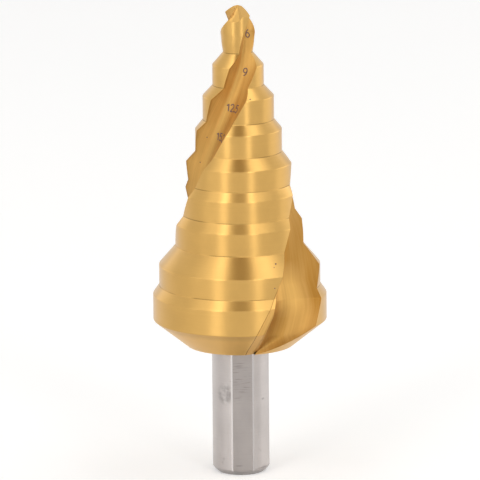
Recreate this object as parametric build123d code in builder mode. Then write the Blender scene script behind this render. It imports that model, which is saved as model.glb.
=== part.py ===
from build123d import *
from math import atan2, cos, degrees, log, radians, sin, sqrt, tan
import os

# A step drill for thin sheet: one bar of tool steel with a point, nine stepped lands, two
# spiral flutes and a round shank with three flats. It stands on the end of its shank, point up.
# The origin is the middle of the shank's end face and +Z runs to the point. Azimuths are
# measured from the front (-Y) towards +X, which is also the way the drill turns.
# All sizes are in millimetres and degrees.

# ---- Steps, counted from the point down -----------------------------------------------------
STEP_DIAMETERS = (6.0, 9.0, 12.5, 15.2, 18.6, 20.4, 22.5, 28.3, 30.5)
LAND_HEIGHTS = (6.7, 3.65, 4.2, 4.0, 3.65, 3.8, 3.95, 3.7, 4.5)
SHOULDER_HEIGHTS = (2.2, 1.9, 1.7, 2.0, 1.6, 1.65, 3.5, 1.6)   # the cone under each land

# ---- Point ----------------------------------------------------------------------------------
POINT_ANGLE = 124.0          # included angle of the two lips
LIP_AZIMUTH = 52.0           # azimuth of the front lip's outer corner
LIP_RELIEF = 12.0            # fall of the first flank behind its lip
FLANK_SLOPE = 40.0           # fall of the second flank
FLANK_AZIMUTH = -15.0        # way the front land's second flank falls
FLANK_START = 8.0            # azimuth of the wall at which that second flank begins
FLANK_DROP = 0.04            # how far below the point the second flank passes the axis
NECK_DIAMETER = 5.2          # foot of the first land, relieved for clearance
NECK_HEIGHT = 2.6            # length of that relief

# ---- Underside of the head ------------------------------------------------------------------
UNDERSIDE_DIAMETER = 18.8    # flat ring round the shank
UNDERSIDE_HEIGHT = 4.7       # cone between the last land and the flat ring

# ---- Shank ----------------------------------------------------------------------------------
SHANK_DIAMETER = 10.0
SHANK_LENGTH = 22.9
SHANK_CHAMFER = 1.0
CHAMFER_CROWN = 4.0          # radius to which the chamfer is crowned
FLAT_COUNT = 3
FLAT_DEPTH = 0.36            # how deep each flat is ground into the round
FLAT_AZIMUTH = 4.0           # azimuth of the first flat
FLAT_EDGE_RADIUS = 0.6       # rounding where a flat meets the round of the shank

# ---- Flutes ---------------------------------------------------------------------------------
FLUTE_COUNT = 2
LEAD_APEX_RISE = 13.8        # the spiral winds on a cone whose tip is this far above the point
LEAD_TURN = 142.8            # turn for each e-fold of the distance from that tip
EDGE_AZIMUTH = -159.9        # first cutting edge, at the top of the last land
RAKE_LEAN = 19.0             # lean of the cutting face off the radial line
CORNER_SHARE = 0.11          # corner radius of a flute, as a share of the head's radius there
FLOOR_LEVEL = 8.6            # floor of a flute over the axis, at the top of the last land
FLOOR_TAPER = 0.18           # fall of the floor for each millimetre up
WEB = 0.5                    # least height of the floor over the axis, near the point
HEEL_RISE = 8.0              # lean of the line from a flute's corner to its heel
HEEL_LEAN = 28.0             # lean of the heel wall off the floor
GASH_HEIGHT = 4.8            # length below the point in which the flutes flare open
GASH_OPENING = 46.0          # how far a flute's floor swings open at the point
GASH_LEAN = 7.0              # lean of the cutting face at the point, where the web is thinned
STATION_TURN = 10.0          # one section of a flute for each such turn
CUTTER_MARGIN = 2.5          # how far the flute cutter stands out of the head
POINT_CLEARANCE = 0.5        # how far the flute cutter and the blank pass the point

# ---- Sizes that follow ----------------------------------------------------------------------
LAST_LAND_TOP = SHANK_LENGTH + UNDERSIDE_HEIGHT + LAND_HEIGHTS[-1]
FIRST_LAND_TOP = LAST_LAND_TOP + sum(LAND_HEIGHTS[:-1]) + sum(SHOULDER_HEIGHTS)
FIRST_RADIUS = STEP_DIAMETERS[0] / 2
LAST_RADIUS = STEP_DIAMETERS[-1] / 2
LIP_SLOPE = 1 / tan(radians(POINT_ANGLE / 2))
POINT_TOP = FIRST_LAND_TOP + FIRST_RADIUS * LIP_SLOPE
FIRST_LAND_MIDDLE = FIRST_LAND_TOP - LAND_HEIGHTS[0] / 2
ENVELOPE_SLOPE = (LAST_RADIUS - FIRST_RADIUS) / (FIRST_LAND_MIDDLE - LAST_LAND_TOP)
LEAD_APEX = POINT_TOP + LEAD_APEX_RISE


def head_outline():
    """Corners of the turned head as (radius, height), from the blank's end down to the axis."""
    neck = FIRST_LAND_TOP - LAND_HEIGHTS[0]
    corners = [
        (0.0, POINT_TOP + POINT_CLEARANCE),
        (FIRST_RADIUS, POINT_TOP + POINT_CLEARANCE),
        (FIRST_RADIUS, neck + NECK_HEIGHT),
        (NECK_DIAMETER / 2, neck),
    ]
    height = neck
    for diameter, land, shoulder in zip(STEP_DIAMETERS[1:], LAND_HEIGHTS[1:], SHOULDER_HEIGHTS):
        height -= shoulder
        corners.append((diameter / 2, height))
        height -= land
        corners.append((diameter / 2, height))
    corners.append((UNDERSIDE_DIAMETER / 2, SHANK_LENGTH))
    corners.append((0.0, SHANK_LENGTH))
    return corners


def envelope_radius(height):
    """Radius of the smooth cone that the steps climb, held at the first and last lands' radii."""
    radius = LAST_RADIUS - ENVELOPE_SLOPE * (height - LAST_LAND_TOP)
    return max(FIRST_RADIUS, min(LAST_RADIUS, radius))


def edge_azimuth(height):
    """Azimuth of the first cutting edge: a spiral of constant slope on the lead cone."""
    return EDGE_AZIMUTH - LEAD_TURN * log((LEAD_APEX - height) / (LEAD_APEX - LAST_LAND_TOP))


def floor_level(height):
    """Height of a flute's floor over the axis: level at the base, then it falls to the web."""
    level = FLOOR_LEVEL - FLOOR_TAPER * max(0.0, height - LAST_LAND_TOP)
    return (level + sqrt(level**2 + 4 * WEB**2)) / 2


def gash_share(height):
    """How much of the gash is there: none below it, all of it at the point, eased in between."""
    climb = (height - POINT_TOP) / GASH_HEIGHT + 1
    return 1 - (1 - min(1.0, max(0.0, climb))) ** 2


def along(point, angle, distance):
    """The point that lies this far along a direction, which is an angle off the local x axis."""
    return (point[0] + distance * cos(radians(angle)), point[1] + distance * sin(radians(angle)))


def reach(point, angle, radius):
    """Distance along a direction from a point inside a circle round the axis to that circle."""
    forward = point[0] * cos(radians(angle)) + point[1] * sin(radians(angle))
    return sqrt(forward**2 + radius**2 - point[0] ** 2 - point[1] ** 2) - forward


def draw_flute_section(height):
    """Closed outline of the flute cutter in local axes: x out to the edge, y the way it turns."""
    radius = envelope_radius(height)
    outside = radius + CUTTER_MARGIN
    lean = RAKE_LEAN + (GASH_LEAN - RAKE_LEAN) * gash_share(height)
    face = 180.0 - lean                           # down the cutting face
    floor = 90.0 + GASH_OPENING * gash_share(height)   # along the floor, off the cutting face
    depth = (radius - floor_level(height)) / cos(radians(lean))
    corner = along((radius, 0.0), face, depth)
    tangent = CORNER_SHARE * radius * tan(radians((face - floor) / 2))
    face_end = along(corner, face, -tangent)
    floor_start = along(corner, floor, tangent)
    heel = along(corner, floor - HEEL_RISE, reach(corner, floor - HEEL_RISE, radius))
    span = sqrt((heel[0] - floor_start[0]) ** 2 + (heel[1] - floor_start[1]) ** 2)
    face_top = along((radius, 0.0), face, -reach((radius, 0.0), face - 180.0, outside))
    heel_top = along(heel, floor - HEEL_LEAN, reach(heel, floor - HEEL_LEAN, outside))
    middle = (atan2(face_top[1], face_top[0]) + atan2(heel_top[1], heel_top[0])) / 2
    Line(face_top, face_end)
    TangentArc(face_end, floor_start, tangent=(cos(radians(face)), sin(radians(face))))
    Bezier(
        floor_start,
        along(floor_start, floor, 0.45 * span),
        along(heel, floor - HEEL_LEAN, -0.3 * span),
        heel,
    )
    Line(heel, heel_top)
    ThreePointArc(heel_top, (outside * cos(middle), outside * sin(middle)), face_top)


def station_heights():
    """Heights of the flute sections, evenly spaced in turn, from under the head to over it."""
    low = SHANK_LENGTH - CUTTER_MARGIN
    high = POINT_TOP + POINT_CLEARANCE
    ratio = (LEAD_APEX - high) / (LEAD_APEX - low)
    count = int(-LEAD_TURN * log(ratio) / STATION_TURN) + 1
    return [LEAD_APEX - (LEAD_APEX - low) * ratio ** (i / count) for i in range(count + 1)]


def turned_plane(height, azimuth):
    """Level plane at a height, with its x axis along an azimuth."""
    angle = radians(azimuth)
    return Plane(origin=(0, 0, height), x_dir=(sin(angle), -cos(angle), 0), z_dir=(0, 0, 1))


def sloping_plane(height, slope, fall, wall):
    """Plane through the axis that falls towards one azimuth, with its x axis along another."""
    fall, wall = radians(fall), radians(wall)
    return Plane(
        origin=(0, 0, height),
        x_dir=(sin(wall), -cos(wall), -slope * cos(wall - fall)),
        z_dir=(slope * sin(fall), -slope * cos(fall), 1),
    )


with BuildPart() as step_drill:
    # The shank: a round bar with its flats, their edges eased.
    with BuildSketch() as shank_outline:
        Circle(SHANK_DIAMETER / 2)
        for flat in range(FLAT_COUNT):
            with Locations(turned_plane(0, FLAT_AZIMUTH + 360.0 * flat / FLAT_COUNT)):
                with Locations((SHANK_DIAMETER / 2 - FLAT_DEPTH, 0)):
                    Rectangle(
                        SHANK_DIAMETER,
                        SHANK_DIAMETER,
                        align=(Align.MIN, Align.CENTER),
                        mode=Mode.SUBTRACT,
                    )
        fillet(shank_outline.vertices(), FLAT_EDGE_RADIUS)
    extrude(amount=SHANK_LENGTH)

    # The turned chamfer at the shank's end, slightly crowned.
    chamfer_start = (SHANK_DIAMETER / 2 - SHANK_CHAMFER, 0)
    chamfer_end = (SHANK_DIAMETER / 2, SHANK_CHAMFER)
    with BuildSketch(Plane.XZ):
        with BuildLine():
            RadiusArc(chamfer_start, chamfer_end, -CHAMFER_CROWN)
            Polyline(
                chamfer_end,
                (SHANK_DIAMETER, SHANK_CHAMFER),
                (SHANK_DIAMETER, -SHANK_CHAMFER),
                (SHANK_DIAMETER / 2 - SHANK_CHAMFER, -SHANK_CHAMFER),
                chamfer_start,
            )
        make_face()
    revolve(axis=Axis.Z, mode=Mode.SUBTRACT)

    # The turned head: point, lands, shoulders and the underside.
    with BuildSketch(Plane.XZ):
        with BuildLine():
            Polyline(head_outline(), close=True)
        make_face()
    revolve(axis=Axis.Z)

    # The flanks: behind each lip one plane, then a steeper one beyond a low wall.
    relief_slope = tan(radians(LIP_RELIEF))
    first_slope = sqrt(LIP_SLOPE**2 + relief_slope**2)
    first_fall = LIP_AZIMUTH - degrees(atan2(relief_slope, LIP_SLOPE))
    for flute in range(FLUTE_COUNT):
        turn = 360.0 * flute / FLUTE_COUNT
        with BuildSketch(sloping_plane(POINT_TOP, first_slope, first_fall + turn, turn)):
            Rectangle(2 * STEP_DIAMETERS[0], 2 * STEP_DIAMETERS[0])
        extrude(amount=STEP_DIAMETERS[0], dir=(0, 0, 1), mode=Mode.SUBTRACT)
        second_slope = tan(radians(FLANK_SLOPE))
        with BuildSketch(
            sloping_plane(
                POINT_TOP - FLANK_DROP, second_slope, FLANK_AZIMUTH + turn, FLANK_START + turn
            )
        ):
            Rectangle(
                2 * STEP_DIAMETERS[0],
                STEP_DIAMETERS[0],
                align=(Align.CENTER, Align.MAX),
            )
        extrude(amount=2 * STEP_DIAMETERS[0], dir=(0, 0, 1), mode=Mode.SUBTRACT)

    # The flutes: sections carried up the spiral, then cut away.
    for flute in range(FLUTE_COUNT):
        for height in station_heights():
            with BuildSketch(turned_plane(height, edge_azimuth(height) + 360.0 * flute / FLUTE_COUNT)):
                with BuildLine():
                    draw_flute_section(height)
                make_face()
        loft(mode=Mode.SUBTRACT)

step_drill.part.label = "step_drill"
os.makedirs("parts", exist_ok=True)
export_step(step_drill.part, "parts/step_drill.step")
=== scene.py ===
# %% [markdown]
# # A step drill and its finish
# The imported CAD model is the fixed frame: it says how large the drill is and where it stands.
# This script covers it with two finer surfaces, the coated head and the bare shank. Both are
# worked out from the same sizes as the solid, row by row and column by column, so that the
# reflections of a polished tool run smoothly over them.

# %% Load the frame
import math

import bpy
import numpy as np
from mathutils import Matrix, Vector


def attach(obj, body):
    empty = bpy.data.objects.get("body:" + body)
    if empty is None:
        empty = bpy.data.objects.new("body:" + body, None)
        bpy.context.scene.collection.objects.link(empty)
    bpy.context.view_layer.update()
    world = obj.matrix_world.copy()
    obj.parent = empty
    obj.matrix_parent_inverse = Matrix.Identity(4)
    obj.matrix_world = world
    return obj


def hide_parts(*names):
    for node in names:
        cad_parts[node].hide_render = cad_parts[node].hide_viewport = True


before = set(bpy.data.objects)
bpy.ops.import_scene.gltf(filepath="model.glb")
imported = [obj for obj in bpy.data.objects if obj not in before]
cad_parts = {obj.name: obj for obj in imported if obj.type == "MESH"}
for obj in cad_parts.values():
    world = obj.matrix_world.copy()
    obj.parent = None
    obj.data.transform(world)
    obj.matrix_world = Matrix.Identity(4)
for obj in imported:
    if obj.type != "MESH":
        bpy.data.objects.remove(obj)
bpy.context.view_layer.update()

# %% [markdown]
# ## Sizes
# Everything here is in millimetres and degrees, because that is how a drill is drawn. The
# meshes are scaled to metres at the very end. Azimuths start at the front (-Y) and grow
# towards +X, which is the way the drill turns.

# %% Sizes of the drill
MM = 0.001
STEP_DIAMETERS = (6.0, 9.0, 12.5, 15.2, 18.6, 20.4, 22.5, 28.3, 30.5)
LAND_HEIGHTS = (6.7, 3.65, 4.2, 4.0, 3.65, 3.8, 3.95, 3.7, 4.5)
SHOULDER_HEIGHTS = (2.2, 1.9, 1.7, 2.0, 1.6, 1.65, 3.5, 1.6)
UNDERSIDE_DIAMETER, UNDERSIDE_HEIGHT = 18.8, 4.7       # the cone under the last land
NECK_DIAMETER, NECK_HEIGHT = 5.2, 2.6                  # the waist behind the pilot
SHANK_DIAMETER, SHANK_LENGTH, SHANK_CHAMFER, CHAMFER_CROWN = 10.0, 22.9, 1.0, 4.0
FLAT_COUNT, FLAT_DEPTH, FLAT_AZIMUTH, FLAT_EDGE_RADIUS = 3, 0.36, 4.0, 0.6
# The ground point: its lips, the second flanks behind them, and the gash that frees its middle.
POINT_ANGLE = 124.0
LIP_SLOPE = 1 / math.tan(math.radians(POINT_ANGLE / 2))
LIP_AZIMUTH, LIP_RELIEF = 52.0, 12.0
FLANK_SLOPE, FLANK_AZIMUTH, FLANK_START, FLANK_DROP = 40.0, -15.0, 8.0, 0.04
GASH_HEIGHT, GASH_OPENING, GASH_LEAN = 4.8, 46.0, 7.0
BLANK_OVER = 2.0                                       # the blank reaches this far past the point
# The flutes: how fast they turn, how their face and heel lean, how deep they are.
LEAD_APEX_RISE, LEAD_TURN, EDGE_AZIMUTH, UNDERSIDE_TURN = 13.8, 142.8, -159.9, 9.0
RAKE_LEAN, HEEL_LEAN, HEEL_RISE, CORNER_SHARE = 19.0, 28.0, 8.0, 0.30
FLOOR_LEVEL, FLOOR_TAPER, WEB = 8.6, 0.18, 0.5
# Heights that follow from them.
LAST_LAND_TOP = SHANK_LENGTH + UNDERSIDE_HEIGHT + LAND_HEIGHTS[-1]
FIRST_LAND_TOP = LAST_LAND_TOP + sum(LAND_HEIGHTS[:-1]) + sum(SHOULDER_HEIGHTS)
POINT_TOP = FIRST_LAND_TOP + STEP_DIAMETERS[0] / 2 * LIP_SLOPE
LEAD_APEX = POINT_TOP + LEAD_APEX_RISE
print("height of the drill", round(POINT_TOP, 3), "mm")

# %% [markdown]
# ## The outline of the head
# Seen from the side, the head is a stair: an upright land, then a sloping shoulder, nine
# times over. Each corner is eased by a very small chamfer, as the coating and use leave it,
# and only the neck behind the pilot is blended more broadly.

# %% Corners of the head
EASE, EASE_REACH = 0.05, 2.4    # size of the easing at each corner, and its second row in easings
NECK_EASE = 1.1                 # the same at the blended neck


def head_corners():
    """Corners of the turned head as (height, radius), going up from the flat ring."""
    corners = [(SHANK_LENGTH, UNDERSIDE_DIAMETER / 2)]
    height = SHANK_LENGTH + UNDERSIDE_HEIGHT
    steps = list(zip(STEP_DIAMETERS, LAND_HEIGHTS, (0.0,) + SHOULDER_HEIGHTS))
    for diameter, land, shoulder_over in reversed(steps[1:]):
        corners.append((height, diameter / 2))
        height += land
        corners.append((height, diameter / 2))
        height += shoulder_over
    corners.append((height, NECK_DIAMETER / 2))
    corners.append((height + NECK_HEIGHT, STEP_DIAMETERS[0] / 2))
    corners.append((POINT_TOP + BLANK_OVER, STEP_DIAMETERS[0] / 2))
    return np.array(corners)


CORNERS = head_corners()
print("corners of the head", len(CORNERS))

# %% [markdown]
# ## Points and directions
# A section of the drill lies in a plane, so most of the work is done on whole arrays of points
# (rows, 2). A few small helpers turn angles into directions, walk along them and measure paths.


# %% Vectors in the plane
def direction(angle):
    """Unit vectors (cos a, sin a) for an array of angles in radians."""
    return np.stack([np.cos(angle), np.sin(angle)], axis=-1)


def times(length, vectors):
    """Each vector times its own length."""
    return np.asarray(length)[..., None] * vectors


def reach(point, angle, radius):
    """Distance d > 0 with |point + d (cos a, sin a)| = radius."""
    forward = np.sum(point * direction(angle), axis=-1)
    return np.sqrt(np.maximum(forward**2 + radius**2 - np.sum(point**2, axis=-1), 0)) - forward


def run_length(path):
    """Distance of each point of a path (..., points, 2) from its first, measured along the path."""
    steps = np.linalg.norm(np.diff(path, axis=-2), axis=-1)
    return np.concatenate([np.zeros(path.shape[:-2] + (1,)), np.cumsum(steps, axis=-1)], axis=-1)


print("a step of 2 along 90 degrees is", times(2.0, direction(np.radians(90.0))).round(6))

# %% [markdown]
# ## The spiral
# A flute has the same kind of section at every height, only larger lower down. The section is
# drawn in its own axes: the first points out at the cutting edge, the second the way the drill
# turns. `edge_azimuth` then says how far that section is turned. It is a spiral on a cone:
# each equal share of the distance to the cone's tip takes the same turn.


# %% Functions of height
def envelope_radius(height):
    """Radius of the smooth cone that the steps climb."""
    first, last = STEP_DIAMETERS[0] / 2, STEP_DIAMETERS[-1] / 2
    slope = (last - first) / (FIRST_LAND_TOP - LAND_HEIGHTS[0] / 2 - LAST_LAND_TOP)
    return np.clip(last - slope * (height - LAST_LAND_TOP), first, last)


def edge_azimuth(height):
    """Azimuth of the first cutting edge, in radians: a + b ln(distance to the lead's apex).

    Under the last land it turns further, by UNDERSIDE_TURN times the square of the share of the
    way down, so that the bend begins softly."""
    share = (LEAD_APEX - height) / (LEAD_APEX - LAST_LAND_TOP)
    under = np.clip((SHANK_LENGTH + UNDERSIDE_HEIGHT - height) / UNDERSIDE_HEIGHT, 0, 1)
    return np.radians(EDGE_AZIMUTH - LEAD_TURN * np.log(share) - UNDERSIDE_TURN * under**2)


def floor_level(height):
    """Floor of a flute over the axis: a falling line that eases into the web, level at the base."""
    level = FLOOR_LEVEL - FLOOR_TAPER * np.maximum(height - LAST_LAND_TOP, 0)
    eased = (level + np.sqrt(level**2 + 4 * WEB**2)) / 2
    return np.where(height < LAST_LAND_TOP, FLOOR_LEVEL, eased)


def gash_share(height):
    """0 below the gash at the point, 1 at the point, 1 - (1 - t)^2 in between."""
    return 1 - (1 - np.clip((height - POINT_TOP) / GASH_HEIGHT + 1, 0, 1)) ** 2


print("edge azimuth at the base and the point",
      np.degrees(edge_azimuth(np.array([LAST_LAND_TOP, FIRST_LAND_TOP]))).round(1))

# %% [markdown]
# ## Stretches of a flute
# The path across a flute is drawn in stretches: straight ones, an arc in the corner, and the
# floor. The floor is a cubic Bezier curve, because its two handles set how it leaves the corner
# and how it climbs the heel.

# %% Straight stretch and floor
FLOOR_HANDLE, HEEL_HANDLE = 0.45, 0.3     # the floor curve's two handles, in shares of its span
CURVE_POINTS, TAIL_POINTS, TAIL_LENGTH = 161, 61, 3.0     # the tail is the straight end, in mm


def between(a, b, count):
    """Points (rows, count, 2) from a towards b, a (1 - t) + b t, with b left out."""
    t = np.arange(count) / count
    return a[:, None, :] * (1 - t)[None, :, None] + b[:, None, :] * t[None, :, None]


def floor_curve(start, heel, floor, heel_way):
    """Cubic Bezier from start, leaving at angle `floor`, to the heel, then straight on."""
    span = np.linalg.norm(heel - start, axis=-1)
    p1 = start + times(FLOOR_HANDLE * span, direction(floor))
    p2 = heel - times(HEEL_HANDLE * span, direction(heel_way))
    t = np.linspace(0, 1, CURVE_POINTS)[None, :, None]
    curve = ((1 - t) ** 3 * start[:, None] + 3 * t * (1 - t) ** 2 * p1[:, None]
             + 3 * t**2 * (1 - t) * p2[:, None] + t**3 * heel[:, None])
    beyond = np.linspace(0, TAIL_LENGTH, TAIL_POINTS)[1:]
    tail = heel[:, None, :] + beyond[None, :, None] * direction(heel_way)[:, None, :]
    return np.concatenate([curve, tail], axis=1)


print("points on a floor before it is cut", CURVE_POINTS + TAIL_POINTS - 1)

# %% [markdown]
# ## Ending the floor at the land
# The steps have different radii, so the floor's curve is drawn too long and cut where it meets
# the land. What is left is spread evenly over its columns, so that none of them crowd.


# %% Cut and spread
def cut_at(path, radius, count):
    """`count` evenly spaced points of each path, up to where it leaves the circle of `radius`."""
    rows = np.arange(len(path))
    out = np.linalg.norm(path, axis=-1)
    inside = np.maximum.accumulate((out < radius[:, None])[:, ::-1], axis=1)[:, ::-1]
    last = np.maximum(inside.sum(axis=1) - 1, 0)
    share = np.clip((radius - out[rows, last]) / (out[rows, last + 1] - out[rows, last]), 0, 1)
    length = run_length(path)
    end = length[rows, last] + share * (length[rows, last + 1] - length[rows, last])
    wanted = end[:, None] * np.linspace(0, 1, count)[None, :]
    slot = (length[:, None, :] <= wanted[:, :, None]).sum(axis=2) - 1
    slot = np.clip(slot, 0, path.shape[1] - 2)
    low, high = np.take_along_axis(length, slot, 1), np.take_along_axis(length, slot + 1, 1)
    part = ((wanted - low) / (high - low))[:, :, None]
    before = np.take_along_axis(path, slot[:, :, None], 1)
    after = np.take_along_axis(path, slot[:, :, None] + 1, 1)
    return before + part * (after - before)


straight_path = np.stack([np.linspace(0, 2, 9), np.zeros(9)], axis=-1)[None]
print("a line from 0 to 2, cut at 1, gives", cut_at(straight_path, np.ones(1), 5)[0, :, 0])

# %% [markdown]
# ## One flute, as a sheet of points
# For every row the path runs from the cutting edge over its narrow bevel, down the cutting
# face, round the corner, along the floor and up the heel. Each stretch has a fixed number of
# columns, so a column follows the same feature from the base to the point.

# %% Points across a flute
BEVEL_COLUMNS, FACE_COLUMNS, ARC_COLUMNS, FLOOR_COLUMNS = 5, 12, 12, 44
FLUTE_COLUMNS = BEVEL_COLUMNS + FACE_COLUMNS + ARC_COLUMNS + FLOOR_COLUMNS
STRIP_START, STRIP_FULL = 35.2, 30.5      # the edge's hand-ground strip begins and is full here
STRIP_WIDTH, STRIP_DEPTH = 1.35, 0.75
HONE = 0.04                               # the edge's own easing, all the way up
CORNER_ROOM = 0.8                         # the corner's arc takes no more of the face than this


def flute_sheet(height, radius):
    """Points (rows, columns, 2) across a flute, in its own axes, from the edge to the heel.

    Face: E + s (cos f, sin f). Corner: arc of radius k R. Floor: cubic Bezier to the heel H,
    then H + s (cos h, sin h), cut where its distance from the axis is the land's radius."""
    big = envelope_radius(height)
    gash = gash_share(height)
    lean = np.radians(RAKE_LEAN + (GASH_LEAN - RAKE_LEAN) * gash)
    face = np.pi - lean
    floor = np.radians(90.0 + GASH_OPENING * gash)
    heel_way = floor - np.radians(HEEL_LEAN)
    rise = floor - np.radians(HEEL_RISE)
    strip = np.clip((STRIP_START - height) / (STRIP_START - STRIP_FULL), 0, 1)
    start = np.stack([big, np.zeros_like(big)], axis=-1)
    corner = start + times((big - floor_level(height)) / np.cos(lean), direction(face))
    heel = corner + times(reach(corner, rise, big), direction(rise))
    outward = face + np.pi
    edge = start + times(reach(start, outward, radius), direction(outward))
    shift = np.stack([np.zeros_like(big), HONE + STRIP_WIDTH * strip], axis=-1)
    moved, corner = start + shift, corner + shift
    inner_radius = radius - HONE - STRIP_DEPTH * strip
    inner = moved + times(reach(moved, outward, inner_radius), direction(outward))
    room = np.maximum(np.sum((corner - inner) * direction(face), axis=-1), 0)
    half_turn = np.tan((face - floor) / 2)
    bend = np.minimum(CORNER_SHARE * big, CORNER_ROOM * room / half_turn)
    arc_start = corner - times(bend * half_turn, direction(face))
    arc_end = corner + times(bend * half_turn, direction(floor))
    centre = arc_start + times(bend, direction(face - np.pi / 2))
    turn = np.arange(ARC_COLUMNS) / ARC_COLUMNS
    arc_angle = face[:, None] + np.pi / 2 - turn[None, :] * (face - floor)[:, None]
    arc = centre[:, None, :] + bend[:, None, None] * direction(arc_angle)
    path = floor_curve(arc_end, heel, floor, heel_way)
    sheet = np.concatenate([
        between(edge, inner, BEVEL_COLUMNS), between(inner, arc_start, FACE_COLUMNS),
        arc, cut_at(path, radius, FLOOR_COLUMNS)], axis=1)
    distance = np.linalg.norm(sheet, axis=-1, keepdims=True)
    return sheet * np.minimum(1, radius[:, None, None] / distance)


print("columns across a flute", FLUTE_COLUMNS)

# %% [markdown]
# ## All the way round
# The second flute is the first one turned by half a circle, and the lands are arcs between
# them. The whole ring is then turned to its azimuth on the spiral.

# %% One ring of the head
LAND_COLUMNS = 56


def ring(height, radius):
    """Points (rows, columns, 2) right round the head: flute, land, flute, land."""
    sheet = flute_sheet(height, radius)
    begin = np.arctan2(sheet[:, -1, 1], sheet[:, -1, 0])
    end = np.arctan2(sheet[:, 0, 1], sheet[:, 0, 0]) + np.pi
    t = (np.arange(LAND_COLUMNS) + 1) / (LAND_COLUMNS + 1)
    angle = begin[:, None] + (end - begin)[:, None] * t[None, :]
    half = np.concatenate([sheet, radius[:, None, None] * direction(angle)], axis=1)
    both = np.concatenate([half, -half], axis=1)
    turn = edge_azimuth(height)[:, None]
    x = both[..., 0] * np.sin(turn) + both[..., 1] * np.cos(turn)
    y = -both[..., 0] * np.cos(turn) + both[..., 1] * np.sin(turn)
    return np.stack([x, y], axis=-1)


print("columns round the head", 2 * (FLUTE_COLUMNS + LAND_COLUMNS))

# %% [markdown]
# ## Rows of the head
# Between two corners of the outline the rows are evenly spaced. Next to a corner there are two
# more, a hair away from it, so that the corner is eased and the faces beside it stay flat.

# %% Rows from the ring to the gash
ROW_SPACING = 0.33
POINT_DEPTH = 5.0               # the rows under the point's planes begin this far below its top
NECK_TOP = CORNERS[-2, 0]
GASH_START = POINT_TOP - POINT_DEPTH


def outline_rows(spacing):
    """Heights and radii of the rows, from the flat ring up to the blank's end."""
    heights, radii = [], []
    for (z0, r0), (z1, r1) in zip(CORNERS[:-1], CORNERS[1:]):
        length = math.hypot(z1 - z0, r1 - r0)
        eased, blended = np.array([EASE, EASE_REACH * EASE]) / length, np.array([NECK_EASE]) / length
        near = blended if z0 == NECK_TOP else eased
        far = blended if z1 == NECK_TOP else eased
        count = max(3, int(length / spacing))
        inner = np.linspace(near[-1], 1 - far[-1], count + 1)[1:-1]
        t = np.concatenate([near, inner, 1 - far[::-1]])
        heights.append(z0 + (z1 - z0) * t)
        radii.append(r0 + (r1 - r0) * t)
    return np.concatenate(heights), np.concatenate(radii)


row_height, row_radius = outline_rows(ROW_SPACING)
below = row_height < GASH_START
row_height, row_radius = row_height[below], row_radius[below]
sides = ring(row_height, row_radius)
levels_of_sides = np.broadcast_to(row_height[:, None, None], sides.shape[:2] + (1,))
body = np.concatenate([sides, levels_of_sides], axis=-1)
print("rows below the gash", len(body))

# %% [markdown]
# ## The ground point
# Four planes make the point: behind each lip a first flank, and beyond a low wall a steeper
# second one. One function gives their height over any place.


# %% The flanks
def flank_height(x, y):
    """Height of the four ground planes over (x, y): T - s |d| and the lower second planes."""
    relief = math.tan(math.radians(LIP_RELIEF))
    first = math.hypot(LIP_SLOPE, relief)
    fall = math.radians(LIP_AZIMUTH) - math.atan2(relief, LIP_SLOPE)
    one = POINT_TOP - first * np.abs(x * math.sin(fall) - y * math.cos(fall))
    wall, fall = math.radians(FLANK_START), math.radians(FLANK_AZIMUTH)
    side = np.where(x * math.cos(wall) + y * math.sin(wall) < 0, 1.0, -1.0)
    down = side * (x * math.sin(fall) - y * math.cos(fall))
    two = POINT_TOP - FLANK_DROP - math.tan(math.radians(FLANK_SLOPE)) * down
    return np.minimum(one, two)


print("the axis meets the flanks at", round(float(flank_height(0.0, 0.0)), 3), "mm")

# %% [markdown]
# ## Where the flutes end
# For each column the script climbs the spiral in small levels until it meets the planes. The
# rows are then spread evenly between the gash's start and that height, and the top is closed
# by shrinking the rim towards the axis over the planes.

# %% Rows of the point and its top
LEVEL_STEP, LEVELS_OVER = 0.03, 0.8       # mm between two levels, and how far they pass the point
TOP_ROWS, CAP_ROWS = 34, 26
levels = np.arange(GASH_START, POINT_TOP + LEVELS_OVER, LEVEL_STEP)
stack = ring(levels, np.full(levels.shape, STEP_DIAMETERS[0] / 2))
over = levels[:, None] - flank_height(stack[..., 0], stack[..., 1])
first_over = np.argmax(over >= 0, axis=0)
columns = np.arange(stack.shape[1])
under_gap, over_gap = over[first_over - 1, columns], over[first_over, columns]
top_index = first_over - 1 - under_gap / (over_gap - under_gap)
climb = np.linspace(0, 1, TOP_ROWS)[:, None] * top_index[None, :]
whole = np.minimum(climb.astype(int), len(levels) - 2)
part = (climb - whole)[..., None]
spots = stack[whole, columns] * (1 - part) + stack[whole + 1, columns] * part
tip = np.concatenate([spots, (GASH_START + climb * LEVEL_STEP)[..., None]], axis=-1)
shrink = np.linspace(1, 0, CAP_ROWS + 1)[1:-1, None, None]
cap_spots = tip[-1:, :, :2] * shrink
cap_heights = flank_height(cap_spots[..., 0], cap_spots[..., 1])
cap = np.concatenate([cap_spots, cap_heights[..., None]], axis=-1)
print("the point's rim lies between", tip[-1, :, 2].min().round(2), "and", tip[-1, :, 2].max().round(2))

# %% [markdown]
# ## From rows of points to a closed mesh
# A grid that wraps round needs only two loops of indices and one point at each end. The
# columns grow with azimuth and the rows grow upwards, so every face looks outwards. The object
# that carries a mesh stays at the origin, unturned and unscaled.

# %% Building the meshes
SHARP_ANGLE = 28.0              # degrees between two faces from which their edge stays sharp


def link(name, data):
    """New object that carries the data, at the origin of the scene."""
    piece = bpy.data.objects.new(name, data)
    bpy.context.collection.objects.link(piece)
    return piece


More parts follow.
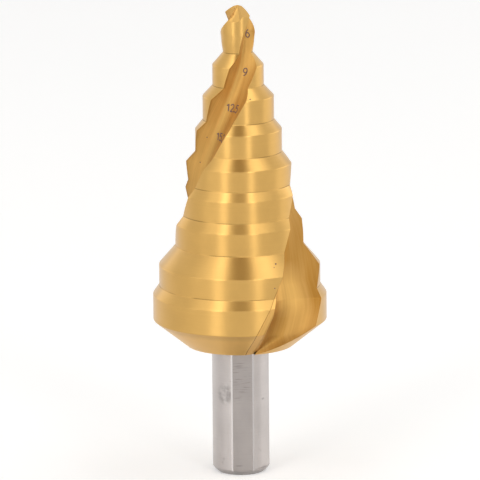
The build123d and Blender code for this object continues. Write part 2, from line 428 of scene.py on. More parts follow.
def closed_grid(name, points, low_pole, high_pole, finish, uv, from_edge=None):
    """Mesh of a grid (rows, columns, 3) that wraps round and is closed by a point at each end.

    `finish` gives the material's number for each cell (row, column), and `uv` (rows, columns, 2)
    the pattern's own coordinates, which a material can read. `from_edge` is the distance from
    the cutting edge in millimetres."""
    rows, cols = points.shape[:2]
    vertices = np.concatenate([points.reshape(-1, 3), [low_pole, high_pole]]) * MM
    i, j = np.meshgrid(np.arange(rows - 1), np.arange(cols), indexing="ij")
    k = (j + 1) % cols
    quads = np.stack([i * cols + j, i * cols + k, (i + 1) * cols + k, (i + 1) * cols + j], axis=-1)
    j = np.arange(cols)
    k, last_row = (j + 1) % cols, (rows - 1) * cols
    low = np.stack([np.full(cols, rows * cols), k, j], axis=-1)
    high = np.stack([last_row + j, last_row + k, np.full(cols, rows * cols + 1)], axis=-1)
    faces = quads.reshape(-1, 4).tolist() + low.tolist() + high.tolist()
    mesh = bpy.data.meshes.new(name)
    mesh.from_pydata(vertices.tolist(), [], faces)
    corner = np.zeros(len(mesh.loops), dtype=np.int32)
    mesh.loops.foreach_get("vertex_index", corner)
    spot = np.concatenate([uv.reshape(-1, 2), uv[0, :1], uv[-1, :1]])[corner]
    mesh.uv_layers.new(name="grind").data.foreach_set("uv", spot.astype(np.float32).ravel())
    number = np.concatenate([finish.ravel(), finish[0], finish[-1]]).astype(np.int32)
    mesh.polygons.foreach_set("material_index", number)
    if from_edge is not None:
        values = np.concatenate([from_edge.ravel(), [0.0, 0.0]]).astype(np.float32)
        mesh.attributes.new("from_edge", "FLOAT", "POINT").data.foreach_set("value", values)
    mesh.shade_smooth()
    mesh.set_sharp_from_angle(angle=math.radians(SHARP_ANGLE))
    print(name, "faces", len(faces))
    return link(name, mesh)


# %% [markdown]
# ## The head from bottom to top
# Three rings close the flat underside round the shank; then come the body, the point's rows
# and its cap. The body's first row is lifted by half an easing, so the rim is not knife-sharp.

# %% Points of the head
RING_SHARES = np.array([0.62, 0.8, 0.985])
flat_spots = body[:1] * RING_SHARES[:, None, None]
flat_spots[..., 2] = SHANK_LENGTH
body[0, :, 2] = SHANK_LENGTH + EASE / 2
head_points = np.concatenate([flat_spots, body, tip, cap])
print("rows of the head", len(head_points))

# %% [markdown]
# ## Which finish goes where
# A land is ground round the axis, a flute along its length, and the point's flanks flat. The
# grid knows which is which: a flute's cells are its columns, the flanks are the top rows, and
# the foot of each step is a thin line of painted shade, where the step's corner is shaded. So each
# cell gets a number, and the number picks the material later.

# %% Finish of each cell
LAND, FLUTE, FLANK, FOOT_SHADE = 0, 1, 2, 3
head_rows, head_cols = head_points.shape[:2]
column = np.arange(head_cols) % (head_cols // 2)
by_column = np.where(column < FLUTE_COLUMNS - 1, FLUTE, LAND)
finish = np.broadcast_to(by_column, (head_rows - 1, head_cols)).copy()
mean_height = head_points[..., 2].mean(axis=1)
middle = (mean_height[1:] + mean_height[:-1]) / 2
past_foot = (middle[:, None] - CORNERS[None, 3:-1:2, 0]) / EASE
at_foot = ((past_foot > -1) & (past_foot < EASE_REACH)).any(axis=1)
# the rows at a step's foot take the painted shade finish
finish[at_foot] = np.where(finish[at_foot] == LAND, FOOT_SHADE, FLUTE)
finish[-CAP_ROWS:] = FLANK
print("rows at a foot", int(at_foot.sum()))

# %% [markdown]
# ## The pattern's own coordinates
# Streaks in a flute have to follow it. So the pattern's first coordinate is measured across the
# flute from its corner, in shares of the cone's radius, and the streaks run smoothly past the
# steps; the second goes up the drill. The plain distance from the cutting edge is kept too,
# because what is ground beside an edge keeps its width in millimetres.

# %% Pattern of the head
CORNER_AT, ACROSS_SCALE = 0.25, 1.65      # pattern coordinate of the corner, radii in one unit
stretch = np.linalg.norm(np.roll(head_points, -1, axis=1) - head_points, axis=-1)
stretch = stretch.reshape(head_rows, 2, -1)[:, :, :FLUTE_COLUMNS]
length = np.cumsum(stretch, axis=-1) - stretch
corner_column = BEVEL_COLUMNS + FACE_COLUMNS
across = CORNER_AT + (length - length[..., corner_column, None]) / (
    ACROSS_SCALE * envelope_radius(mean_height)[:, None, None])
on_land = np.zeros((head_rows, 2, LAND_COLUMNS))
across = np.concatenate([across, on_land], axis=-1).reshape(head_rows, head_cols)
from_edge = np.concatenate([length, on_land], axis=-1)
head = closed_grid("drill_head", head_points, (0, 0, SHANK_LENGTH), (0, 0, flank_height(0.0, 0.0)),
                   finish, np.stack([across, head_points[..., 2]], axis=-1), from_edge)

# %% [markdown]
# ## The shank's outline
# Three flats, three rounds, and an eased edge wherever two of them meet. One third of it is
# worked out and turned three times.

# %% Outline of the shank
FLAT_COLUMNS, EASED_COLUMNS, ROUND_COLUMNS = 10, 6, 30


def shank_outline():
    """Points (columns, 2) round the shank: flats, fillet arcs and rounds, by growing azimuth."""
    radius, flat = SHANK_DIAMETER / 2, SHANK_DIAMETER / 2 - FLAT_DEPTH
    ease = FLAT_EDGE_RADIUS
    cx = flat - ease
    cy = math.sqrt((radius - ease) ** 2 - cx**2)
    turn, third = math.atan2(cy, cx), 2 * math.pi / FLAT_COUNT
    along = np.linspace(-cy, cy, FLAT_COLUMNS + 1)[:-1]
    straight = np.stack([np.full(FLAT_COLUMNS, flat), along], axis=-1)
    bend = np.array([cx, cy]) + ease * direction(np.linspace(0, turn, EASED_COLUMNS + 1)[:-1])
    arc = radius * direction(np.linspace(turn, third - turn, ROUND_COLUMNS + 1)[:-1])
    back = np.array([cx, -cy]) + ease * direction(np.linspace(-turn, 0, EASED_COLUMNS + 1)[:-1])
    spin = np.array([[math.cos(third), math.sin(third)], [-math.sin(third), math.cos(third)]])
    sector = np.concatenate([straight, bend, arc, back @ spin])
    points = []
    for flat_index in range(FLAT_COUNT):
        a = math.radians(FLAT_AZIMUTH) + third * flat_index
        points.append(sector @ np.array([[math.sin(a), -math.cos(a)], [math.cos(a), math.sin(a)]]))
    return np.concatenate(points)


outline = shank_outline()
print("columns round the shank", len(outline))

# %% [markdown]
# ## Chamfer and wall of the shank
# A turned, slightly crowned chamfer ends the shank: a circle in the axial plane. On every
# column it stops where it meets the outline, so it is shorter on the flats, as on a real shank.
# The wall runs a little way up inside the head, so that no slit shows between the two. The rows
# stand close together at both ends of the chamfer, which keeps its two edges crisp.

# %% Rows of the shank
OVERLAP, WALL_ROWS, CHAMFER_ROWS, RIM = 0.4, 44, 12, 0.04             # the rim of the flat end, mm
END_RADII = (1.0, 2.5, SHANK_DIAMETER / 2 - SHANK_CHAMFER - RIM)      # rings of the flat end
distance = np.linalg.norm(outline, axis=-1)
inset = math.sqrt(CHAMFER_CROWN**2 - 0.5 * SHANK_CHAMFER**2) / math.sqrt(2)
centre_r, centre_z = SHANK_DIAMETER / 2 - SHANK_CHAMFER / 2 - inset, SHANK_CHAMFER / 2 + inset
chamfer_top = centre_z - np.sqrt(CHAMFER_CROWN**2 - (distance - centre_r) ** 2)
chamfer_share = np.concatenate([[0.0], np.linspace(0.03, 1, CHAMFER_ROWS)])[:, None]
chamfer_z = chamfer_share * chamfer_top[None, :]
chamfer_r = centre_r + np.sqrt(CHAMFER_CROWN**2 - (centre_z - chamfer_z) ** 2)
end_r = np.array(END_RADII)[:, None] * np.ones(len(outline))
wall_share = np.concatenate([[0.004], np.linspace(0.012, 1, WALL_ROWS)])[:, None]
wall_z = chamfer_top + (SHANK_LENGTH + OVERLAP - chamfer_top) * wall_share
shank_r = np.concatenate([end_r, chamfer_r, np.broadcast_to(distance, wall_z.shape)])
shank_z = np.concatenate([end_r * 0, chamfer_z, wall_z])
print("rows of the shank", len(shank_z), "chamfer up to", chamfer_top.max().round(2), "mm")

# %% [markdown]
# ## A knock at the shank's end
# A small dent in the chamfer, where the drill was dropped or the chuck slipped: the radius is
# pressed in by a bell curve of azimuth and height.

# %% The dent
DENT_AZIMUTH, DENT_HEIGHT, DENT_DEPTH, DENT_WIDTH, DENT_RISE = 52.0, 0.95, 0.22, 5.5, 0.3
azimuth = np.degrees(np.arctan2(outline[:, 0], -outline[:, 1]))[None, :]
bell = np.exp(-((azimuth - DENT_AZIMUTH) / DENT_WIDTH) ** 2 - ((shank_z - DENT_HEIGHT) / DENT_RISE) ** 2)
shank_r = shank_r - DENT_DEPTH * bell * (shank_z > 0)
print("deepest point of the dent", (DENT_DEPTH * bell).max().round(2), "mm")

# %% [markdown]
# ## The shank's mesh and finishes
# Rounds and flats are ground in separate passes, and the edges between them are burnished by
# the chuck; the rounds and the edges are also painted lighter, as painted reflection and highlight. The
# end and the lower chamfer are turned, so they take the finish of the rounds.

# %% The shank
ROUND, EDGE, FLAT = 0, 1, 2
TURNED_ROWS = len(END_RADII) + CHAMFER_ROWS - 2         # the end, and the chamfer but its top rows
way = outline / distance[:, None]
shank_points = np.concatenate([shank_r[..., None] * way, shank_z[..., None]], axis=-1)
sector_column = np.arange(len(outline)) % (len(outline) // FLAT_COUNT)
flat_end, round_start = FLAT_COLUMNS, FLAT_COLUMNS + EASED_COLUMNS
round_end = round_start + ROUND_COLUMNS
kind = np.select([sector_column < flat_end, sector_column < round_start, sector_column < round_end],
                 [FLAT, EDGE, ROUND], EDGE)
finish = np.broadcast_to(kind, (len(shank_points) - 1, len(outline))).copy()
finish[:TURNED_ROWS] = ROUND
uv = np.stack([np.broadcast_to(azimuth / 360, shank_z.shape), shank_z], axis=-1)
shank = closed_grid("drill_shank", shank_points, (0, 0, 0), (0, 0, SHANK_LENGTH + OVERLAP), finish, uv)

# %% [markdown]
# ## Etched sizes
# A laser has written each step's diameter in the first flute. It draws with a single line, so
# a digit here is a path too: straight strokes and arcs in a cell one unit high. A flat bar is
# carried along each path, and every point of it is laid on the curved floor of the flute.


# %% Single-line digits
def arc(cx, cy, rx, ry, start, end):
    """Points (c + r cos a, c + r sin a) for a from start to end, in degrees."""
    a = np.radians(np.linspace(start, end, 25))
    return np.stack([cx + rx * np.cos(a), cy + ry * np.sin(a)], axis=-1)


def stroke(*pieces):
    """One path out of points and arcs, one after the other."""
    return np.concatenate([np.reshape(piece, (-1, 2)) for piece in pieces])


SIX = [stroke(arc(0.62, 0.34, 0.62, 0.66, 96, 180), arc(0.3, 0.31, 0.3, 0.31, 180, 540))]
DIGITS = {
    "0": [arc(0.3, 0.5, 0.3, 0.5, 90, 450)],
    "1": [stroke((0.02, 0.78), (0.24, 1.0), (0.24, 0.0))],
    "2": [stroke(arc(0.3, 0.7, 0.3, 0.3, 165, -35), (0.0, 0.0), (0.6, 0.0))],
    "3": [stroke(arc(0.27, 0.75, 0.27, 0.25, 150, -80), arc(0.27, 0.27, 0.32, 0.27, 80, -150))],
    "4": [stroke((0.45, 0.0), (0.45, 1.0), (0.0, 0.3), (0.62, 0.3))],
    "5": [stroke((0.56, 1.0), (0.1, 1.0), (0.04, 0.56), arc(0.27, 0.32, 0.32, 0.32, 120, -150))],
    "6": SIX,
    "8": [arc(0.3, 0.76, 0.24, 0.24, -90, 270), arc(0.3, 0.27, 0.3, 0.27, 90, 450)],
    "9": [np.array([0.6, 1.0]) - SIX[0]],
    ".": [stroke((x, -0.02), (x, 0.2)) for x in (0.01, 0.15)],
}
print("digits", "".join(DIGITS))

# %% [markdown]
# ## Finding the surface
# `front_surface` looks at the drill from one azimuth and finds what it sees at a place: the
# ring of points at that height is cut by the line of sight, and the nearest cut wins. It works
# for all heights at once, as one array.


# %% What is seen at a place
def front_surface(height, across, facing):
    """Points (n, 3) seen from azimuth `facing` at `height` and `across` to the right of the axis."""
    circle = ring(height, np.interp(height, CORNERS[:, 0], CORNERS[:, 1]))
    to_right = circle[..., 0] * math.cos(facing) + circle[..., 1] * math.sin(facing)
    to_viewer = circle[..., 0] * math.sin(facing) - circle[..., 1] * math.cos(facing)
    next_right, next_viewer = np.roll(to_right, -1, axis=1), np.roll(to_viewer, -1, axis=1)
    wanted = across[:, None]
    cut = (to_right <= wanted) & (next_right > wanted)
    t = (wanted - to_right) / np.where(cut, next_right - to_right, 1)
    depth = np.where(cut, to_viewer * (1 - t) + next_viewer * t, -np.inf).max(axis=1)
    x = across * math.cos(facing) + depth * math.sin(facing)
    y = across * math.sin(facing) - depth * math.cos(facing)
    return np.stack([x, y, height], axis=-1)


print("in front, 40 mm up", front_surface(np.array([40.0]), np.array([0.0]), 0.0).round(2))

# %% [markdown]
# ## A flat bar along a path
# A mark is a thin flat bar: two edges beside its path, a top just above the steel and a bottom
# just below it, so that it neither floats nor flickers against the surface.

# %% Bar
MARK_LIFT, MARK_SINK, BAR_SPACING = 0.018, 0.03, 0.06


def bar(path, half_width):
    """Corners (n, 4, 2 + 1) of a flat bar carried along a path: left and right, top and bottom."""
    length = run_length(path)
    at = np.linspace(0, length[-1], max(3, int(length[-1] / BAR_SPACING) + 1))
    middle = np.stack([np.interp(at, length, path[:, 0]), np.interp(at, length, path[:, 1])], axis=-1)
    run = np.gradient(middle, axis=0)
    side = np.stack([run[:, 1], -run[:, 0]], axis=-1) / np.linalg.norm(run, axis=1)[:, None] * half_width
    flat = np.stack([middle - side, middle + side, middle + side, middle - side], axis=1)
    levels = np.array([MARK_LIFT, MARK_LIFT, -MARK_SINK, -MARK_SINK])[:, None]
    return np.concatenate([flat, np.broadcast_to(levels, flat.shape[:2] + (1,))], axis=-1)


print("a bar 1 mm long has", len(bar(np.array([(0.0, 0.0), (1.0, 0.0)]), 0.1)), "rows of corners")

# %% [markdown]
# ## Laying bars on the drill
# The corners of each bar are put on the surface that is seen from the side it is read from, and
# each bar is closed: four faces between two rows of corners, and one at each end.


# %% Laying bars
def lay(name, paths):
    """One mesh of bars laid on the drill; each path comes with its height, place and facing."""
    vertices, faces, count = [], [], 0
    for path, half_width, height, place, facing in paths:
        corners = bar(path, half_width)
        local = corners.reshape(-1, 3)
        spots = front_surface(height + local[:, 1], place + local[:, 0], facing)
        spots[:, :2] += local[:, 2:] * (math.sin(facing), -math.cos(facing))
        n, (i, j) = len(corners), np.meshgrid(np.arange(len(corners) - 1), np.arange(4), indexing="ij")
        k = (j + 1) % 4
        quads = np.stack([i * 4 + k, (i + 1) * 4 + k, (i + 1) * 4 + j, i * 4 + j], axis=-1).reshape(-1, 4)
        ends = np.array([[3, 2, 1, 0], [4 * n - 4, 4 * n - 3, 4 * n - 2, 4 * n - 1]])
        faces.append(np.concatenate([quads, ends]) + count)
        vertices.append(spots)
        count += len(spots)
    mesh = bpy.data.meshes.new(name)
    mesh.from_pydata((np.concatenate(vertices) * MM).tolist(), [], np.concatenate(faces).tolist())
    volume = sum(face.area * face.normal.dot(face.center) for face in mesh.polygons) / 3
    print(name, "faces", len(mesh.polygons), "volume", round(volume * 1e9, 3), "mm3")
    return link(name, mesh)


# %% [markdown]
# ## Writing the sizes
# Each number stands beside its step and is written square to the flute's floor there. Narrow
# signs, the 1 and the point, take less room than the others.

# %% The numbers
MARK_HEIGHT, MARK_HALF_WIDTH, MARK_GAP = 1.25, 0.085, 0.22    # mm, mm, and a share of the height
DIGIT_SQUEEZE, DIGIT_WIDTH, NARROW = 0.85, 0.62, {"1": 0.34, ".": 0.16}
READING_SHARE = 0.08            # of the flute's width to each side, from which its facing is read
NUMBERS = (                     # text, height, share of the way across the flute
    ("6", 78.4, 0.70), ("9", 72.0, 0.66), ("12.5", 65.8, 0.61), ("15.2", 60.6, 0.58),
    ("18.6", 55.2, 0.68), ("20.4", 49.9, 0.66), ("22.5", 44.6, 0.66), ("28.3", 38.4, 0.66),
    ("30.5", 32.4, 0.64))


def reading_place(height, share):
    """Where a number sits: its azimuth of reading, square to the flute there, and its place across."""
    heights = np.full(1, height)
    circle = ring(heights, np.interp(heights, CORNERS[:, 0], CORNERS[:, 1]))[0, :FLUTE_COLUMNS]
    length = run_length(circle)
    at = length[-1] * (share + np.array([-READING_SHARE, 0.0, READING_SHARE]))
    x, y = np.interp(at, length, circle[:, 0]), np.interp(at, length, circle[:, 1])
    facing = math.atan2(y[2] - y[0], x[2] - x[0])
    return facing, x[1] * math.cos(facing) + y[1] * math.sin(facing)


paths = []
for text, height, share in NUMBERS:
    facing, place = reading_place(height, share)
    print(text, "is read from azimuth", round(math.degrees(facing)))
    widths = [NARROW.get(sign, DIGIT_WIDTH) for sign in text]
    left = -0.5 * (sum(widths) + MARK_GAP * (len(text) - 1))
    for sign, width in zip(text, widths):
        for path in DIGITS[sign]:
            sized = (path + (left, -0.5)) * (MARK_HEIGHT * DIGIT_SQUEEZE, MARK_HEIGHT)
            paths.append((sized, MARK_HALF_WIDTH, height, place, facing))
        left += width + MARK_GAP
marks = lay("etched_numbers", paths)

# %% [markdown]
# ## Chips in the coating
# A few specks where the coating has popped off are laid on in the same way, as very short bars.

# %% Chips
CHIP_SLANT = 0.05                   # rise of a chip's bar from its left end to its right, mm
CHIPS = (                           # height, place to the right, half width, length, in millimetres
    (39.5, 6.3, 0.10, 0.24), (39.0, 6.0, 0.06, 0.14), (35.6, 6.1, 0.09, 0.16),
    (60.3, -5.5, 0.08, 0.16), (55.5, -6.75, 0.08, 0.16), (67.75, 2.1, 0.06, 0.3))
chips = lay("coating_chips", [
    (np.array([(-length / 2, 0.0), (length / 2, CHIP_SLANT)]), half, height, place, 0.0)
    for height, place, half, length in CHIPS])

# %% [markdown]
# ## What each piece stands for
# The two surfaces together replace the one solid of the drill, which stays behind for physics.

# %% Bodies and nodes
for piece, slot_name in ((head, "coated_steel"), (shank, "bare_steel"),
                         (marks, "etched_marks"), (chips, "etched_marks")):
    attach(piece, "root")
for piece in (head, shank):
    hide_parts("step_drill")
print("pieces", head.name, shank.name, marks.name, chips.name)

# %% [markdown]
# ## The materials
# All of it is reflecting metal, so most of the look is what it mirrors. Grinding leaves fine
# grooves, and grooves smear a reflection across themselves: round the axis on the lands, so
# that lamps become upright stripes, and along the flute in the flutes. That is what a
# shader's anisotropy is for. The tangent says along which way the smear goes.


# %% A metal
def principled(name, colour):
    """New material of one colour, its node tree and its shader."""
    material = bpy.data.materials.new(name)
    material.use_nodes = True
    shader = material.node_tree.nodes["Principled BSDF"]
    shader.inputs["Base Color"].default_value = (*colour, 1)
    return material, material.node_tree, shader


def metal(name, colour, roughness, smear=0.0, turn=0.0, uv=False):
    """A metal, its node tree and its shader; `smear` is the anisotropy, turned by `turn` of a circle."""
    material, tree, shader = principled(name, colour)
    shader.inputs["Metallic"].default_value = 1.0
    shader.inputs["Roughness"].default_value = roughness
    if smear:
        shader.inputs["Anisotropic"].default_value = smear
        shader.inputs["Anisotropic Rotation"].default_value = turn
        tangent = tree.nodes.new("ShaderNodeTangent")
        tangent.direction_type, tangent.axis = ("UV_MAP" if uv else "RADIAL"), "Z"
        tree.links.new(tangent.outputs[0], shader.inputs["Tangent"])
    return material, tree, shader


RING_SMEAR, RING_TURN = 0.8, 0.25         # for grooves that run round the axis
print("grooves round the axis smear by", RING_SMEAR)

# %% [markdown]
# ## Levels that vary over a surface
# A finish is a colour times a few levels, each near 1: a noise, a rise with height, a patch.
# These helpers do the arithmetic with nodes, and give the colour to the shader at the end.


# %% Arithmetic with nodes
def math_node(tree, operation, *values):
    """A Math node whose inputs are numbers or sockets; returns its output."""
    node = tree.nodes.new("ShaderNodeMath")
    node.operation = operation
    for socket, value in zip(node.inputs, values):
        if isinstance(value, bpy.types.NodeSocket):
            tree.links.new(value, socket)
        else:
            socket.default_value = value
    return node.outputs[0]


def product(tree, level, *others):
    """A level times all the others."""
    for other in others:
        level = math_node(tree, "MULTIPLY", level, other)
    return level


def spread(tree, value, low, high, from_low=0.0, from_high=1.0):
    """Value carried from one range to another, and held inside it."""
    node = tree.nodes.new("ShaderNodeMapRange")
    ends = {"From Min": from_low, "From Max": from_high, "To Min": low, "To Max": high}
    for name, number in ends.items():
        node.inputs[name].default_value = number
    tree.links.new(value, node.inputs["Value"])
    return node.outputs["Result"]


def dim(tree, shader, colour, level):
    """Gives the shader its colour times a grey level that varies over the surface."""
    node = tree.nodes.new("ShaderNodeMix")
    node.data_type, node.blend_type = "RGBA", "MULTIPLY"
    node.inputs["Factor"].default_value = 1.0
    node.inputs[6].default_value = (*colour, 1)
    tree.links.new(level, node.inputs[7])
    tree.links.new(node.outputs[2], shader.inputs["Base Color"])


print("helpers for levels ready")

# %% [markdown]
# ## Places and patterns
# Patterns are laid out in the object's own coordinates, so they stay on the drill from every
# side. A noise texture's values crowd round a half, so only a band of them is spread over the
# tones. A patch is the inside of an ellipsoid, with a soft border.

# %% Noise and patches
NOISE_BAND = (0.3, 0.7)


def object_place(tree):
    """Place in the object's own coordinates, in metres."""
    return tree.nodes.new("ShaderNodeTexCoord").outputs["Object"]


def part_of(tree, vector, axis):
    """One coordinate of a vector."""
    node = tree.nodes.new("ShaderNodeSeparateXYZ")
    tree.links.new(vector, node.inputs["Vector"])
    return node.outputs[axis]


def mottle(tree, coordinates, stretch, tones, band=NOISE_BAND, detail=3.0):
    """Noise over coordinates stretched by three factors, its band carried to a pair of tones."""
    mapping = tree.nodes.new("ShaderNodeMapping")
    mapping.inputs["Scale"].default_value = stretch
    tree.links.new(coordinates, mapping.inputs["Vector"])
    noise = tree.nodes.new("ShaderNodeTexNoise")
    noise.inputs["Scale"].default_value = 1.0
    noise.inputs["Detail"].default_value = detail
    tree.links.new(mapping.outputs["Vector"], noise.inputs["Vector"])
    return spread(tree, noise.outputs["Fac"], *tones, *band)


def patch(tree, coordinates, centre, size, soft):
    """1 in the middle of an ellipsoid of three half sizes, in millimetres, and 0 outside it."""
    mapping = tree.nodes.new("ShaderNodeMapping")
    mapping.inputs["Location"].default_value = [-c / s for c, s in zip(centre, size)]
    mapping.inputs["Scale"].default_value = [1 / (s * MM) for s in size]
    tree.links.new(coordinates, mapping.inputs["Vector"])
    length = tree.nodes.new("ShaderNodeVectorMath")
    length.operation = "LENGTH"
    tree.links.new(mapping.outputs["Vector"], length.inputs[0])
    return spread(tree, length.outputs["Value"], 1.0, 0.0, 1 - soft, 1 + soft)


print("noise band", NOISE_BAND)

# %% [markdown]
# ## Coated lands
# Titanium nitride gives one gold colour everywhere; what differs is the grinding under it. The
# lands get faint rings and clouds. The cone under the last land is painted lighter, as a painted
# reflection of the bright floor it faces.

# %% Coated lands
GOLD = (0.597, 0.358, 0.108)
LAND_RINGS = (60, 60, 9000), (0.985, 1.015)           # stretch per metre, and tones
LAND_CLOUDS = (220, 220, 220), (0.96, 1.04)
REFLECTION_TONE, REFLECTION_UNDER, REFLECTION_OVER = 1.16, 0.0262, 0.0270       # in metres up the drill
land_steel, tree, shader = metal("coated_land", GOLD, 0.34, RING_SMEAR, RING_TURN)
place = object_place(tree)
# painted reflection: the cone under the last land is made lighter, as if it mirrored the bright floor
painted_reflection = spread(tree, part_of(tree, place, "Z"), REFLECTION_TONE, 1.0, REFLECTION_UNDER, REFLECTION_OVER)
rings, clouds = mottle(tree, place, *LAND_RINGS), mottle(tree, place, *LAND_CLOUDS)
dim(tree, shader, GOLD, product(tree, rings, clouds, painted_reflection))
print("lands", land_steel.name)

# %% [markdown]
# ## Painted shade of a flute
# A flute is a deep, narrow trough whose walls shade each other, and this shade is painted into
# its colour, with a few bands of painted highlight. Its tone is read from a ramp across the flute
# and one over the distance from the cutting edge, in three sets for the low, the middle and the
# high part, which run into each other with height. A tone then becomes a colour: light that
# reaches a dark place has met more gold on its way, so the deeper the painted shade, the deeper its
# colour.

# %% Ramps
LOW_SHADE_TONES = (
    (0.0, 0.95), (0.22, 0.84), (0.30, 0.76), (0.42, 0.74), (0.50, 0.84), (0.58, 0.88),
    (0.66, 0.76), (1.0, 0.72))
MIDDLE_SHADE_TONES = ((0.0, 1.0), (0.50, 1.0), (0.57, 0.86), (0.64, 0.68), (1.0, 0.68))
HIGH_SHADE_TONES = ((0.0, 1.05), (0.26, 1.14), (0.36, 0.78), (0.46, 0.84), (0.55, 0.92), (1.0, 0.88))
EDGE_REACH = 12.0                         # mm from the cutting edge at which its ramps end
LOW_EDGE_SHADE = ((0.0, 0.62), (0.10, 0.62), (0.20, 1.30), (1.40, 1.30), (1.75, 1.0), (EDGE_REACH, 1.0))
HIGH_EDGE_SHADE = ((0.0, 0.62), (0.16, 0.75), (0.5, 0.92), (2.0, 1.0), (EDGE_REACH, 1.0))
SHADE_TINTS = (
    (0.0, (0.0, 0.0, 0.0)), (0.65, (0.385, 0.190, 0.036)), (0.78, (0.465, 0.257, 0.070)),
    (1.0, (0.600, 0.352, 0.102)), (1.4, (0.840, 0.500, 0.150)))


def ramp(tree, value, stops):
    """Colour by straight lines between stops (place, colour), for a value from 0 to the last place."""
    top = stops[-1][0]
    node = tree.nodes.new("ShaderNodeValToRGB")
    for _ in stops[2:]:
        node.color_ramp.elements.new(0.5)
    for element, (where, colour) in zip(node.color_ramp.elements, stops):
        element.position, element.color = where / top, (*colour, 1)
    tree.links.new(math_node(tree, "MULTIPLY", value, 1 / top), node.inputs["Fac"])
    return node.outputs["Color"]


def tone_ramp(tree, value, stops):
    """Level by straight lines between stops (place, tone)."""
    return ramp(tree, value, [(where, (tone, tone, tone)) for where, tone in stops])


def blend(tree, first, second, share):
    """From the first level to the second as the share goes from 0 to 1."""
    node = tree.nodes.new("ShaderNodeMix")
    for number, value in ((0, share), (2, first), (3, second)):
        tree.links.new(value, node.inputs[number])
    return node.outputs[0]


print("tones across a flute, low:", [tone for _, tone in LOW_SHADE_TONES])

# %% [markdown]
# ## Coated flutes
# Two noises, drawn out along the flute, make fine and broad streaks. They multiply the tone
# before it is tinted.

# %% Coated flutes
FINE_STREAKS = (60, 0.10, 1), (0.94, 1.05)            # stretch of the pattern, and tones
BROAD_STREAKS = (11, 0.05, 1), (0.95, 1.04)
LOW_END, MIDDLE, HIGH_START = 29.0, (32.0, 34.5), 38.5    # mm up, where each set holds alone
DEEP_SHADE_TONE, DEEP_SHADE_UNDER, DEEP_SHADE_OVER = 0.80, 42.0, 56.0          # the high set is dimmer at its lower end
flute_steel, tree, shader = metal("coated_flute", GOLD, 0.48, 0.55, 0.0, uv=True)
pattern = tree.nodes.new("ShaderNodeUVMap").outputs["UV"]
across, height = part_of(tree, pattern, "X"), part_of(tree, pattern, "Y")
edge_node = tree.nodes.new("ShaderNodeAttribute")
edge_node.attribute_name = "from_edge"
# painted shade and highlight: the ramps darken the flute's corner, heel and cutting edge, where its walls
# shade it, and lighten a few bands
low, middle, high = (
    product(tree, tone_ramp(tree, across, tones), tone_ramp(tree, edge_node.outputs["Fac"], edge_tones))
    for tones, edge_tones in ((LOW_SHADE_TONES, LOW_EDGE_SHADE), (MIDDLE_SHADE_TONES, LOW_EDGE_SHADE), (HIGH_SHADE_TONES, HIGH_EDGE_SHADE)))
high = product(tree, high, spread(tree, height, DEEP_SHADE_TONE, 1.0, DEEP_SHADE_UNDER, DEEP_SHADE_OVER))
tone = blend(tree, low, middle, spread(tree, height, 0.0, 1.0, LOW_END, MIDDLE[0]))
tone = blend(tree, tone, high, spread(tree, height, 0.0, 1.0, MIDDLE[1], HIGH_START))
fine, broad = mottle(tree, pattern, *FINE_STREAKS), mottle(tree, pattern, *BROAD_STREAKS)
tree.links.new(ramp(tree, product(tree, fine, broad, tone), SHADE_TINTS), shader.inputs["Base Color"])
print("flutes", flute_steel.name, "with", len(tree.nodes), "nodes")

# %% [markdown]
# ## Coated flanks and feet
# The flanks of the point are plain. Where the second flank drops behind the first, the low wall
# gets a few spots of painted highlight, the same on both lips. The foot of each step is a
# broken line of painted shade: its tone jumps between two levels with a coarse noise.

# %% Coated flanks and feet
HIGHLIGHT_SPOTS = ((-1.15, 81.35), (-0.85, 81.85), (-0.6, 82.35), (-0.4, 82.8))   # x and height of the spots, mm
HIGHLIGHT_SPOTS_FRONT, HIGHLIGHT_SPOTS_SIZE, HIGHLIGHT_SPOTS_SOFT, HIGHLIGHT_SPOTS_GAIN = -1.2, (0.34, 1.4, 0.36), 0.5, 0.42
FOOT_BREAKS, FOOT_BAND = ((170, 170, 170), (0.55, 1.0)), (0.42, 0.58)
flank_steel, tree, shader = metal("coated_flank", GOLD, 0.42)
place, painted_highlight = object_place(tree), 0.0
# painted highlight: bright spots on the low wall between the flanks, the same on both lips
for side in (1, -1):
    for x, z in HIGHLIGHT_SPOTS:
        spot = patch(tree, place, (side * x, side * HIGHLIGHT_SPOTS_FRONT, z), HIGHLIGHT_SPOTS_SIZE, HIGHLIGHT_SPOTS_SOFT)
        painted_highlight = math_node(tree, "MAXIMUM", painted_highlight, spot)
dim(tree, shader, GOLD, math_node(tree, "MULTIPLY_ADD", painted_highlight, HIGHLIGHT_SPOTS_GAIN, 1.0))
# painted shade: each step's foot gets a darker, broken line, standing in for the shadow in its corner
foot_shade_steel, tree, shader = metal("coated_foot_shade", GOLD, 0.45)
dim(tree, shader, GOLD, mottle(tree, object_place(tree), *FOOT_BREAKS, FOOT_BAND, 1.0))
for material in (land_steel, flute_steel, flank_steel, foot_shade_steel):
    head.data.materials.append(material)
print("finishes of the head", [material.name for material in head.data.materials])

# %% [markdown]
# ## Worn bare steel
# The shank's coating was masked, so it is plain steel, ground in rings. It carries what use
# leaves: a stain from a hand or a chuck, short grinding scratches across the front flat, fine
# dark spots and a few nicks. The turned chamfer at its end is a little darker. The rounds are
# lighter than the flats, partly from their grind and partly as a painted reflection of the bright sides.

